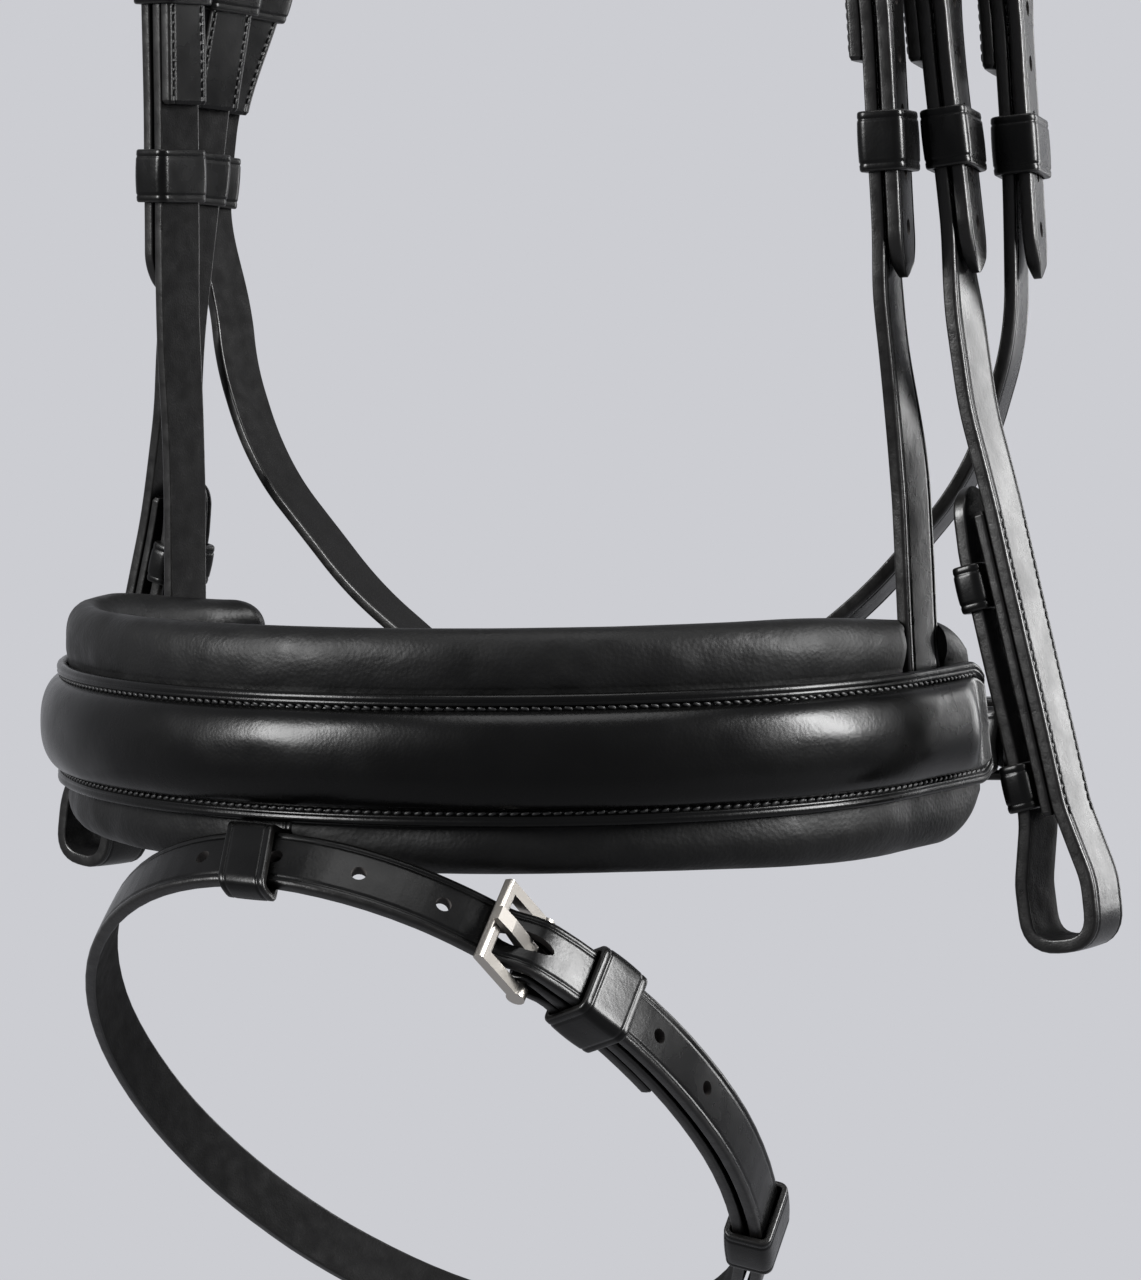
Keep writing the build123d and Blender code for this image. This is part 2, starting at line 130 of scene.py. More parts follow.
def add_grain(mat, cell, cell_depth, wave, wave_depth, rough, tint=None):
    """Leather pores and unevenness as bump, with the gloss broken up to match. Sizes in millimetres."""
    object_place = node(mat, "ShaderNodeTexCoord").outputs["Object"]
    pores = node(mat, "ShaderNodeTexVoronoi", Scale=1 / (cell * MM), feature="SMOOTH_F1")
    pores.inputs["Smoothness"].default_value = 0.6
    waves = node(mat, "ShaderNodeTexNoise", Scale=1 / (wave * MM), Detail=4.0)
    fine = node(mat, "ShaderNodeTexNoise", Scale=3.1 / (cell * MM), Detail=3.0)
    for texture in (pores, waves, fine):
        link(mat, object_place, texture.inputs["Vector"])
    bump = add_bump(mat, waves.outputs["Fac"], wave_depth * MM)
    bump = add_bump(mat, fine.outputs["Fac"], cell_depth * MM, 0.5, under=bump)
    bump = add_bump(mat, pores.outputs["Distance"], cell_depth * MM, under=bump)
    link(mat, bump.outputs["Normal"], shader_of(mat).inputs["Normal"])
    gloss = node(mat, "ShaderNodeMapRange")
    for socket, value in zip(("From Min", "From Max", "To Min", "To Max"), (0.3, 0.7, *rough)):
        gloss.inputs[socket].default_value = value
    link(mat, waves.outputs["Fac"], gloss.inputs["Value"])
    link(mat, gloss.outputs["Result"], shader_of(mat).inputs["Roughness"])
    if tint:
        mix = node(mat, "ShaderNodeMix", data_type="RGBA")
        mix.inputs[6].default_value = (*tint[0], 1)
        mix.inputs[7].default_value = (*tint[1], 1)
        link(mat, fine.outputs["Fac"], mix.inputs[0])
        link(mat, mix.outputs[2], shader_of(mat).inputs["Base Color"])


def brush(mat):
    """Fine drawn lines along one direction."""
    stretch = node(mat, "ShaderNodeMapping")
    stretch.inputs["Scale"].default_value = (400, 400, 9000)
    lines = node(mat, "ShaderNodeTexNoise", Scale=1.0, Detail=3.0)
    link(mat, node(mat, "ShaderNodeTexCoord").outputs["Object"], stretch.inputs["Vector"])
    link(mat, stretch.outputs["Vector"], lines.inputs["Vector"])
    bump = add_bump(mat, lines.outputs["Fac"], 0.00003, 0.25)
    link(mat, bump.outputs["Normal"], shader_of(mat).inputs["Normal"])


GRAIN = material("bridle_leather_grain", (0.0005, 0.0005, 0.0005), 0.28, spec=0.09)
add_grain(GRAIN, cell=0.6, cell_depth=0.010, wave=9.0, wave_depth=0.14, rough=(0.23, 0.33))
SHELL = material("noseband_shell_grain", (0.0004, 0.0004, 0.0004), 0.26, spec=0.085)
add_grain(SHELL, cell=0.7, cell_depth=0.016, wave=12.0, wave_depth=0.18, rough=(0.23, 0.31))
FLESH = material("strap_flesh_side", (0.003, 0.003, 0.003), 0.85, spec=0.04)
add_grain(FLESH, cell=0.5, cell_depth=0.07, wave=4.0, wave_depth=0.20, rough=(0.66, 0.90),
          tint=((0.0012, 0.0012, 0.0012), (0.0034, 0.0033, 0.0034)))
EDGE = material("burnished_edge", (0.0012, 0.0011, 0.0010), 0.34, spec=0.17)
add_grain(EDGE, cell=0.4, cell_depth=0.02, wave=3.0, wave_depth=0.12, rough=(0.27, 0.42))
NAPPA = material("lining_nappa", (0.0010, 0.0010, 0.0010), 0.5, spec=0.085)
add_grain(NAPPA, cell=0.9, cell_depth=0.05, wave=8.0, wave_depth=0.22, rough=(0.40, 0.56))
THREAD = material("stitch_thread", (0.002, 0.002, 0.0021), 0.50, spec=0.16)
STEEL = material("buckle_steel_brushed", (0.25, 0.236, 0.217), 0.30, metallic=1.0)
brush(STEEL)
HOLE = material("punched_hole_wall", (0.016, 0.014, 0.013), 0.8, spec=0.2)
FLOOR = material("pale_floor", (0.14, 0.141, 0.149), 0.9)


# ---------------------------------------------------------------- mesh helpers
class Base:
    """A plane that straps are drawn in: x and y in the plane, w across it, in millimetres."""

    def __init__(self, origin, x_dir, y_dir, twist=None):
        self.origin = Vector(origin)
        self.x_dir = Vector(x_dir).normalized()
        self.y_dir = Vector(y_dir).normalized()
        self.w_dir = self.x_dir.cross(self.y_dir)
        self.twist = twist

    def __call__(self, x, y, w):
        if self.twist:
            x, y, w = self.twist(x, y, w)
        return self.origin + (self.x_dir * x + self.y_dir * y + self.w_dir * w) * MM


def new_mesh(name, verts, faces):
    """A mesh whose faces all look outward."""
    mesh = bpy.data.meshes.new(name)
    mesh.from_pydata([tuple(v) for v in verts], [], faces)
    shape = bmesh.new()
    shape.from_mesh(mesh)
    bmesh.ops.recalc_face_normals(shape, faces=shape.faces)
    shape.to_mesh(mesh)
    shape.free()
    return mesh


def new_object(name, data):
    obj = bpy.data.objects.new(name, data)
    bpy.context.scene.collection.objects.link(obj)
    return obj


def finish_mesh(name, verts, faces, mats, indices, body, slot, nodes=()):
    mesh = new_mesh(name, verts, faces)
    for mat in mats:
        mesh.materials.append(mat)
    mesh.polygons.foreach_set("material_index", indices)
    mesh.polygons.foreach_set("use_smooth", [True] * len(faces))
    obj = new_object(name, mesh)
    if body:
        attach(obj, body)
    if nodes:
        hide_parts(*nodes)
    return obj


def skin(rings, parts, closed=False):
    """Quads over equal rings, with n-gon caps unless the sweep closes on itself."""
    n = len(rings[0])
    verts = [v for ring in rings for v in ring]
    faces, indices = [], []
    count = len(rings)
    for i in range(count if closed else count - 1):
        a, b = i * n, ((i + 1) % count) * n
        for j in range(n):
            k = (j + 1) % n
            faces.append((a + j, a + k, b + k, b + j))
            indices.append(parts[j])
    if not closed:
        faces += [tuple(range(n)), tuple(range((count - 1) * n, count * n))]
        indices += [1, 1]
    return verts, faces, indices


def rounded(points, radii, step=1.6):
    """Points along a 2D polyline whose corners are rounded off, by one radius or one for each corner."""
    pts = [Vector(p) for p in points]
    keys = [(pts[0], None)]
    if not isinstance(radii, list):
        radii = [radii] * (len(pts) - 2)
    for before, at, after, radius in zip(pts, pts[1:], pts[2:], radii):
        a, b = (before - at).normalized(), (after - at).normalized()
        half = math.acos(max(-1, min(1, a.dot(b)))) / 2
        reach = min(radius / math.tan(half), (before - at).length * 0.49, (after - at).length * 0.49)
        keys.append((at + a * reach, at))
        keys.append((at + b * reach, None))
    keys.append((pts[-1], None))
    out = [keys[0][0]]
    for (start, corner), (end, _) in zip(keys, keys[1:]):
        length = (end - start).length
        count = max(1, int(length / step))
        for i in range(1, count + 1):
            t = i / count
            if corner is None:
                out.append(start.lerp(end, t))
            else:
                out.append(start.lerp(corner, t).lerp(corner.lerp(end, t), t))
    clean = [out[0]]
    for p in out[1:]:
        if (p - clean[-1]).length > 1e-4:
            clean.append(p)
    return clean


def lengths(points):
    total = [0.0]
    for a, b in zip(points, points[1:]):
        total.append(total[-1] + (b - a).length)
    return total


def normals(points, sense, closed=False):
    """Left-hand normals of a 2D path, turned over by sense."""
    out = []
    count = len(points)
    for i in range(count):
        if closed:
            tangent = points[(i + 1) % count] - points[i - 1]
        else:
            tangent = points[min(i + 1, count - 1)] - points[max(i - 1, 0)]
        tangent = tangent.normalized()
        out.append(Vector((-tangent.y, tangent.x)) * sense)
    return out


# the quarter turns of a strap's edge, as degrees from across to out of the face
RISING, FALLING = (0.0, 22.5, 45.0, 67.5), (67.5, 45.0, 22.5, 0.0)
# a crease's cross-section, as (distance across, share of its depth)
CREASE = ((-0.45, 0.0), (-0.2, 0.7), (0.0, 1.0), (0.2, 0.7), (0.45, 0.0))
FACE_PART, EDGE_PART, FLESH_PART = 0, 1, 2


def edge_arc(depth, radius, h, angles, up, hand):
    """A strap's rounded edge at half width h, turned about a point at this depth."""
    out = []
    for degrees in angles:
        a = math.radians(degrees)
        across = h - radius + radius * math.cos(a)
        out.append((depth + up * radius * math.sin(a), hand * across, EDGE_PART))
    return out


def strap_section(width, thick, crease=True, crown=0.12):
    """Strap outline as (depth, across, part): grain face, rounded edges, flesh face."""
    h, t = width / 2, thick / 2
    r = min(EDGE_RADIUS, t * 0.6)
    low_r = r * 0.6
    face = [(-(h - r), 0.0), (h - r, 0.0)]
    if crease:
        for middle in (CREASE_IN - h, h - CREASE_IN):
            face += [(middle + across, -CREASE_DEPTH * depth) for across, depth in CREASE]
    inner = max(h - CREASE_IN - 0.8, 0.5)
    face += [(-inner + 2 * inner * k / 4, 0.0) for k in range(5)]
    out = [(t - crown * (w / h) ** 2 + d, w, FACE_PART) for w, d in sorted(face)]
    out += edge_arc(t - crown - r, r, h, FALLING, 1, 1)
    out += edge_arc(low_r - t, low_r, h, RISING, -1, 1)
    out += [(-t, (h - low_r) * (1 - k / 2), FLESH_PART) for k in range(5)]
    out += edge_arc(low_r - t, low_r, h, FALLING, -1, -1)
    out += edge_arc(t - crown - r, r, h, RISING, 1, -1)
    return [(d, w) for d, w, _ in out], [part for _, _, part in out]


def end_scale(kind, distance, width):
    """How wide and thick a strap is this far from its end, as shares of its full size."""
    pared = 0.55 + 0.45 * min(distance / 3.0, 1.0)
    if kind == "point":
        t = min(distance / (width * 0.8), 1.0)
        return 0.05 + 0.95 * (1 - (1 - t) ** 2) ** 0.8, pared
    if kind == "round":
        t = min(distance / (width / 2), 1.0)
        return math.sqrt(max(1 - (1 - t) ** 2, 0.004)), pared
    t = min(distance / 0.8, 1.0)
    return 0.93 + 0.07 * t, 0.75 + 0.25 * t


def densify_ends(points, spans):
    """Extra points close to each end so that its shape reads."""
    total = lengths(points)
    full = total[-1]
    wanted = set()
    for at_start, span in ((True, spans[0]), (False, spans[1])):
        for k in range(19):
            d = span * (k / 18) ** 1.6
            wanted.add(round(d if at_start else full - d, 4))
    marks = sorted(wanted | {round(s, 4) for s in total})
    merged = [marks[0]]
    for s in marks[1:]:
        if s - merged[-1] > 0.02:
            merged.append(s)
    return [at_length(points, total, s) for s in merged]


def at_length(points, total, s):
    s = max(0.0, min(s, total[-1]))
    low, high = 0, len(total) - 1
    while high - low > 1:
        middle = (low + high) // 2
        if total[middle] <= s:
            low = middle
        else:
            high = middle
    t = (s - total[low]) / max(total[high] - total[low], 1e-9)
    return points[low].lerp(points[high], t)


def end_span(kind, width):
    """How far from its end a strap still changes shape."""
    return {"point": width * 0.8, "round": width / 2}.get(kind, 0.9)


def strap(name, base, points, sense, width, thick, body, nodes=(), ends=("square", "square"),
          crease=True, wave=0.12, thin=None):
    """A leather strap drawn along a 2D path in a base plane."""
    points = densify_ends(points, [end_span(kind, width) for kind in ends])
    total = lengths(points)
    section, parts = strap_section(width, thick, crease)
    seed = random.random() * 50
    rings = []
    for p, n, s in zip(points, normals(points, sense), total):
        k0, d0 = end_scale(ends[0], s, width)
        k1, d1 = end_scale(ends[1], total[-1] - s, width)
        wide, deep = min(k0, k1), min(d0, d1)
        if thin:
            deep *= thin(p)
        drift = wave * noise.noise(Vector((s / 22.0, seed, 0)))
        swell = 1 + 0.012 * noise.noise(Vector((s / 15.0, seed, 9)))
        ring = []
        for d, w in section:
            q = p + n * (d * deep + drift)
            ring.append(base(q.x, q.y, w * wide * swell))
        rings.append(ring)
    verts, faces, indices = skin(rings, parts)
    return finish_mesh(name, verts, faces, [GRAIN, EDGE, FLESH], indices, body, "bridle_leather", nodes)


def loop_path(low_u, high_u, half_w, gap, thick, corner=1.6):
    """Closed rounded rectangle round a stack of straps."""
    low = low_u - gap - thick / 2 + corner
    high = high_u + gap + thick / 2 - corner
    side = half_w + gap + thick / 2 - corner
    points = []
    for x, y, start in ((high, side, 0), (low, side, 90), (low, -side, 180), (high, -side, 270)):
        for k in range(7):
            t = math.radians(start + 15 * k)
            points.append(Vector((x + corner * math.cos(t), y + corner * math.sin(t))))
    dense = []
    for p, q in zip(points, points[1:] + points[:1]):
        count = max(1, int((q - p).length / 1.5))
        dense += [p.lerp(q, k / count) for k in range(count)]
    return dense


def keeper(name, base, v, low_u, high_u, width, length, body, nodes, gap=0.25):
    """A creased leather band closed round a stack at height v, a little narrower at its two edges."""
    thick, pinched = 1.6, 0.03
    path = loop_path(low_u, high_u, width / 2, gap, thick)
    section, parts = strap_section(length, thick, crown=0.18)
    rings = []
    for p, n in zip(path, normals(path, -1, closed=True)):
        ring = []
        for d, w in section:
            q = p + n * d
            ring.append(base(q.x, v + w, q.y * (1 - pinched * (w / (length / 2)) ** 2)))
        rings.append(ring)
    verts, faces, indices = skin(rings, parts, closed=True)
    return finish_mesh(name, verts, faces, [GRAIN, EDGE, FLESH], indices, body, "bridle_leather", nodes)


# a stitch as rings of vertices, as (place along it, share of its radius)
STITCH_RINGS = ((-0.5, 0.30), (-0.36, 0.85), (0.0, 1.0), (0.36, 0.85), (0.5, 0.30))
STITCH_SIDES = 6


def add_stitch(store, centre, along, side, up, size, radius):
    """One slim pillow of thread, a little wider than high."""
    verts, faces = store
    first = len(verts)
    for t, share in STITCH_RINGS:
        for a in range(STITCH_SIDES):
            angle = math.radians(a * 360 / STITCH_SIDES)
            offset = side * math.cos(angle) * 1.15 + up * math.sin(angle) * 0.9
            verts.append(centre + along * (t * size) + offset * (radius * share * MM))
    rows = [[first + r * STITCH_SIDES + a for a in range(STITCH_SIDES)] for r in range(len(STITCH_RINGS))]
    for low, high in zip(rows, rows[1:]):
        for a in range(STITCH_SIDES):
            b = (a + 1) % STITCH_SIDES
            faces.append((low[a], low[b], high[b], high[a]))
    faces += [tuple(rows[0]), tuple(rows[-1])]


def stitch_run(store, base, points, sense, lift, w, start, stop,
               pitch=STITCH_PITCH, radius=STITCH_RADIUS, slant=0.22):
    """Adds a row of thread stitches to store, lying on a strap's face."""
    total = lengths(points)
    stop = total[-1] + stop if stop <= 0 else stop
    for i in range(int((stop - start) / pitch)):
        s = start + (i + 0.5) * pitch
        p = at_length(points, total, s)
        tangent = (at_length(points, total, s + 0.5) - p).normalized()
        here = p + Vector((-tangent.y, tangent.x)) * sense * lift
        ahead = here + tangent * 0.5
        centre = base(here.x, here.y, w)
        along = (base(ahead.x, ahead.y, w) - centre).normalized()
        side = (base(here.x, here.y, w + 0.5) - centre).normalized()
        up = along.cross(side).normalized()
        along = (along + side * slant).normalized()
        add_stitch(store, centre, along, up.cross(along), up, pitch * 0.80 * MM, radius)


def stitches(name, body, base, points, sense, rows):
    """One piece of thread with a row for each (lift, across, start, stop)."""
    store = ([], [])
    for row in rows:
        stitch_run(store, base, points, sense, *row)
    finish_mesh(name, *store, [THREAD], [0] * len(store[1]), body, "bridle_leather")


def punch(obj, cutters):
    """Cuts round or oval holes: each cutter is (centre, axis, long direction, radius, stretch)."""
    reach, corners = 4.0, 20
    verts, faces = [], []
    for centre, axis, along, radius, stretch in cutters:
        side = axis.cross(along).normalized()
        low = [len(verts) + k for k in range(corners)]
        high = [len(verts) + corners + k for k in range(corners)]
        for end in (-reach, reach):
            for k in range(corners):
                a = 2 * math.pi * k / corners
                offset = along * (math.cos(a) * radius * stretch) + side * (math.sin(a) * radius)
                verts.append(centre + (offset + axis * end) * MM)
        for k in range(corners):
            after = (k + 1) % corners
            faces.append((low[k], low[after], high[after], high[k]))
        faces += [tuple(low), tuple(high)]
    mesh = new_mesh("cutter", verts, faces)
    mesh.materials.append(HOLE)
    cutter = new_object("cutter", mesh)
    cut = obj.modifiers.new("punch", "BOOLEAN")
    cut.object = cutter
    cut.operation = "DIFFERENCE"
    cut.solver = "EXACT"
    cut.material_mode = "TRANSFER"
    bpy.context.view_layer.update()
    depsgraph = bpy.context.evaluated_depsgraph_get()
    done = bpy.data.meshes.new_from_object(obj.evaluated_get(depsgraph))
    obj.modifiers.clear()
    uncut = obj.data
    done.set_sharp_from_angle(angle=SHARP_ANGLE)
    obj.data = done
    bpy.data.meshes.remove(uncut)
    bpy.data.objects.remove(cutter)


def holes_along(obj, base, points, sense, places, radius, stretch):
    """Punches holes through a strap at these distances along it."""
    total = lengths(points)
    cutters = []
    for s in places:
        p = at_length(points, total, s)
        tangent = (at_length(points, total, s + 0.5) - at_length(points, total, s - 0.5)).normalized()
        outward = Vector((-tangent.y, tangent.x)) * sense
        centre = base(p.x, p.y, 0)
        axis = (base(p.x + outward.x, p.y + outward.y, 0) - centre).normalized()
        along = (base(p.x + tangent.x, p.y + tangent.y, 0) - centre).normalized()
        cutters.append((centre, axis, along, radius, stretch))
    punch(obj, cutters)


def nearest(points, goal):
    """Index of the point closest to goal."""
    return min(range(len(points)), key=lambda i: (points[i] - goal).length)


def eased(value, start, end):
    t = min(max((value - start) / (end - start), 0.0), 1.0)
    return t * t * (3 - 2 * t)


# ---------------------------------------------------------------- shared sizes, as in the CAD
# in a strap's plane u is out from the buckle's bar and v is up the strap, both in millimetres
STRAP_T = 3.2
MAIN_U = 1.8
UNDER_U = -1.25
BILLET_U = 5.3
CHAPE_LEN = 41.0
BILLET_LEN = 86.5
RING_LIFT = 3.9
WIDTHS = {"hanger": 13.0, "cheek": 15.0, "throat": 13.0}
BODIES = {"hanger": "noseband", "throat": "throatlash"}
FIXED_V = -12.5
RUNNER_V = -58.0
# stitched runs, as distances along the strap from its folded-back end
STITCHED_CHAPE = (1.5, 31.0)
STITCHED_MIDDLE = (58.0, 86.0)
# holes: half width of a round one and of a tongue's slot, and the steps between them
BILLET_HOLE, TONGUE_HOLE = 1.35, 2.1
BILLET_HOLE_PITCH, HOLE_PITCH = 12.0, 18.0
# the strap's way round a buckle's bar
AROUND = 2.4
FOLD = [(UNDER_U, -6.0), (-AROUND, -2.0), (-AROUND, AROUND), (AROUND, AROUND), (AROUND, -2.0),
        (MAIN_U, -6.0)]
FOLD_RADII = [4.0, 2.4, 2.3, 2.3, 2.4, 4.0]
CHAPE_END = (UNDER_U, -CHAPE_LEN)

# below their buckles the straps turn, and drift across in millimetres, everywhere and lower down
TWIST_DEG = {"near": -16.0, "off": 3.5}
DRIFT = {"hanger": 0.8, "cheek": -2.2, "throat": -1.0}
DRIFT_LOW = {"near": 5.6, "off": 2.2}
# the throatlash's points (u, v) below its near buckle, filled in when its path is drawn
THROAT_LINE = []


def throat_u_at(v):
    """How far out the throatlash has got at height v, so that it turns about itself."""
    for (u0, v0), (u1, v1) in zip(THROAT_LINE, THROAT_LINE[1:]):
        if v1 <= v <= v0:
            return u0 + (u1 - u0) * (v0 - v) / max(v0 - v1, 1e-6)
    return MAIN_U if v > -92.0 else THROAT_LINE[-1][0]


def twist_for(kind, side):
    """Below its buckle each strap turns its face a little to the back and drifts across.

    The eased stretches are millimetres below the bar.
    """
    def twist(u, v, w):
        amount = eased(-v, 2.0, 34.0)
        drift = DRIFT[kind] * eased(-v, 2.0, 44.0)
        middle = MAIN_U
        if kind == "hanger":
            amount *= 1 - 0.3 * eased(-v, 74.0, 92.0) - 0.7 * eased(-v, 98.0, 130.0)
            drift += DRIFT_LOW[side] * eased(-v, 85.0, 135.0)
        elif kind == "throat":
            amount *= 1 - eased(-v, 130.0, 178.0)
            middle = throat_u_at(v)
            if side == "off":
                aside = eased(-v, 2.0, 46.0) * (1 - eased(-v, 62.0, 95.0))
                drift -= 6.5 * aside + 2.0 * eased(-v, 4.0, 58.0)
                u += 2.5 * aside
                middle += 2.5 * aside
        else:
            amount *= 1 - 0.7 * eased(-v, 74.0, 98.0)
            if side == "off":
                drift += 5.0 * eased(-v, 90.0, 150.0) - 6.0 * eased(-v, 172.0, 214.0)
            else:
                drift += 2.4 * eased(-v, 85.0, 140.0)
        angle = math.radians(TWIST_DEG[side] * amount)
        c, s = math.cos(angle), math.sin(angle)
        du = u - middle
        return middle + du * c - w * s, v, du * s + w * c - SIDES[side] * drift
    return twist


def station(kind, side):
    """The plane of a strap, at its buckle's bar."""
    tongue = JOINTS[f"{kind}_tongue_{side}_turn"]
    up = Vector(JOINTS[f"{kind}_runner_{side}_slide"]["axis"]).normalized()
    out = Vector(tongue["axis"]).cross(up).normalized()
    return Base(tongue["pos_m"], out, up, twist_for(kind, side))


def fold_thin(p):
    """Straps are pared thinner where they turn round the bar."""
    return 1 - 0.38 * eased(p.y, -9.0, -2.0)


def edge_rows(thick, width, runs):
    """Stitch rows along both edges of a strap, for each run (start, stop)."""
    return [(thick / 2, hand * (width / 2 - CREASE_IN), *run) for run in runs for hand in (-1, 1)]


def lengthwise(box):
    """A box's middle in metres and its size in millimetres, front to back."""
    return (box[0][1] + box[1][1]) / 2, (box[1][1] - box[0][1]) / MM


PAD_T, PAD_GAP = 8.0, 0.5
crown_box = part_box("headpiece")
LEG_X = crown_box[1][0] / MM - STRAP_T / 2
ARCH_Z = -(LEG_X - STRAP_T / 2 - PAD_GAP - PAD_T)
LEG_TOP_Z = ARCH_Z - 30.0


# ---------------------------------------------------------------- billets and keepers, both sides
def holed_billet(kind, side, base, width, body):
    """The headpiece's leg and its billet, which bends where the strap below it swings."""
    hinge_z = JOINTS[f"{body}_swing"]["pos_m"][2]
    leg_x = SIDES[side] * LEG_X * MM
    leg = []
    for z in (LEG_TOP_Z + 8.0, hinge_z / MM + 4.0):
        d = (Vector((leg_x, base.origin.y, z * MM)) - base.origin) / MM
        leg.append((d.dot(base.x_dir), d.dot(base.y_dir)))
    path = rounded(leg + [(MAIN_U, 9.5), (BILLET_U, 1.0), (BILLET_U, -BILLET_LEN)], [12.0, 4.0, 4.0])
    billet = strap(f"{kind}_billet_strap_{side}", base, path, 1, width, 3.0, None,
                   (f"{kind}_billet_{side}",), ends=("square", "point"))
    total = lengths(path)
    tongue_at = total[min(range(len(path)), key=lambda i: abs(path[i].y - 6.2))]
    places = [total[-1] - BILLET_LEN + 28.0 + BILLET_HOLE_PITCH * k for k in range(5)]
    places += [tongue_at - BILLET_HOLE_PITCH * k for k in (2, 3)]
    holes_along(billet, base, path, 1, places, BILLET_HOLE, 1.3)
    holes_along(billet, base, path, 1, [tongue_at], TONGUE_HOLE, 3.4)
    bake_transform(billet)


for side in SIDES:
    for kind, width in WIDTHS.items():
        base = station(kind, side)
        body = BODIES.get(kind, f"cheek_{side}")
        holed_billet(kind, side, base, width, body)
        keeper(f"{kind}_fixed_loop_{side}", base, FIXED_V, -2.7, BILLET_U + 1.5, width, 10.0,
               body, (f"{kind}_keeper_fixed_{side}",))
        keeper(f"{kind}_runner_loop_{side}", base, RUNNER_V, MAIN_U - 1.6, BILLET_U + 1.5, width, 12.6,
               f"{kind}_runner_{side}", (f"{kind}_keeper_{side}",))


# ---------------------------------------------------------------- noseband hangers
def hanger(side):
    base, width, thick = station("hanger", side), WIDTHS["hanger"], 2.9
    path = rounded([CHAPE_END] + FOLD + [(MAIN_U, -176.0)], FOLD_RADII)
    strap(f"hanger_strap_{side}", base, path, 1, width, thick, "noseband",
          (f"noseband_hanger_{side}",), thin=fold_thin)
    stitches(f"hanger_stitches_{side}", "noseband", base, path, 1,
             edge_rows(thick, width, [STITCHED_CHAPE, STITCHED_MIDDLE]))


for side in SIDES:
    hanger(side)

# ---------------------------------------------------------------- cheekpieces
# bent over the cheek and doubled below, with the bit loop's end kept inside
BEND_V = -115.0
DOUBLED_TOP, DOUBLED_END = -137.0, -202.0
RETURN = [Vector((4.4, DOUBLED_END)), Vector((-2.75, -146.0)), Vector((-3.0, -131.0))]
RETURN_TILT = 7.3


def cheek_u(v):
    return MAIN_U + max(0.0, BEND_V - v) * math.tan(math.radians(7.0))


def tilted(base, u, v, degrees):
    """The same plane with its origin moved to (u, v) and turned."""
    c, s = math.cos(math.radians(degrees)), math.sin(math.radians(degrees))
    return lambda x, y, w: base(u + x * c - y * s, v + x * s + y * c, w)


def cheekpiece(side):
    base, width, thick, body = station("cheek", side), WIDTHS["cheek"], 3.1, f"cheek_{side}"
    bit_loop = [(16.8, -216.0), (16.6, -229.4), (1.8, -229.4), (1.6, -216.0)]
    path = rounded([CHAPE_END] + FOLD + [(MAIN_U, BEND_V), (cheek_u(-200.0), -200.0)] + bit_loop + RETURN,
                   FOLD_RADII + [90.0, 22.0, 20.0, 7.4, 7.4, 16.0, 22.0, 20.0], 1.2)
    strap(f"cheek_strap_{side}", base, path, 1, width, thick, body, (f"cheekpiece_{side}",),
          ends=("square", "round"), thin=fold_thin)
    inner = [Vector((cheek_u(v) - 2.85, v)) for v in range(int(DOUBLED_TOP), int(DOUBLED_END) - 1, -5)]
    strap(f"cheek_doubling_{side}", base, inner, 1, width - 0.2, 2.5, body, crease=False)
    total = lengths(path)
    doubled = tuple(next(s for p, s in zip(path, total) if s > 60 and p.y < v)
                    for v in (DOUBLED_TOP, DOUBLED_END))
    stitches(f"cheek_stitches_{side}", body, base, path, 1,
             edge_rows(thick, width, [STITCHED_CHAPE, STITCHED_MIDDLE, doubled]))
    for place, v in (("upper", -152.8), ("lower", -195.6)):
        u = RETURN[0].x - (v - RETURN[0].y) * math.tan(math.radians(RETURN_TILT))
        keeper(f"cheek_inner_loop_{place}_{side}", tilted(base, u, v, RETURN_TILT), 0.0, -1.6, 1.6,
               width, 10.0, body, (f"cheek_loop_keeper_{place}_{side}",))


for side in SIDES:
    cheekpiece(side)

# ---------------------------------------------------------------- throatlash
THROAT = {side: station("throat", side) for side in SIDES}
throat_base = Base((0, THROAT["near"].origin.y, THROAT["near"].origin.z), (1, 0, 0),
                   THROAT["near"].w_dir.cross(Vector((1, 0, 0))))


def throat_local(side, x, z, w):
    """A point of the throatlash's plane as (u, v, w) of one side's station."""
    st = THROAT[side]
    d = (throat_base(x, z, w) - st.origin) / MM
    return d.dot(st.x_dir), d.dot(st.y_dir), d.dot(st.w_dir)


def throat_place(x, z, w):
    """World point of the throatlash's plane, twisted with the straps at each end."""
    side = "near" if x > 0 else "off"
    return THROAT[side](*throat_local(side, x, z, w))


def near_throat_xz(u, v):
    st = THROAT["near"]
    d = (st.x_dir * u + st.y_dir * v) + (st.origin - throat_base.origin) / MM
    return d.dot(throat_base.x_dir), d.dot(throat_base.y_dir)


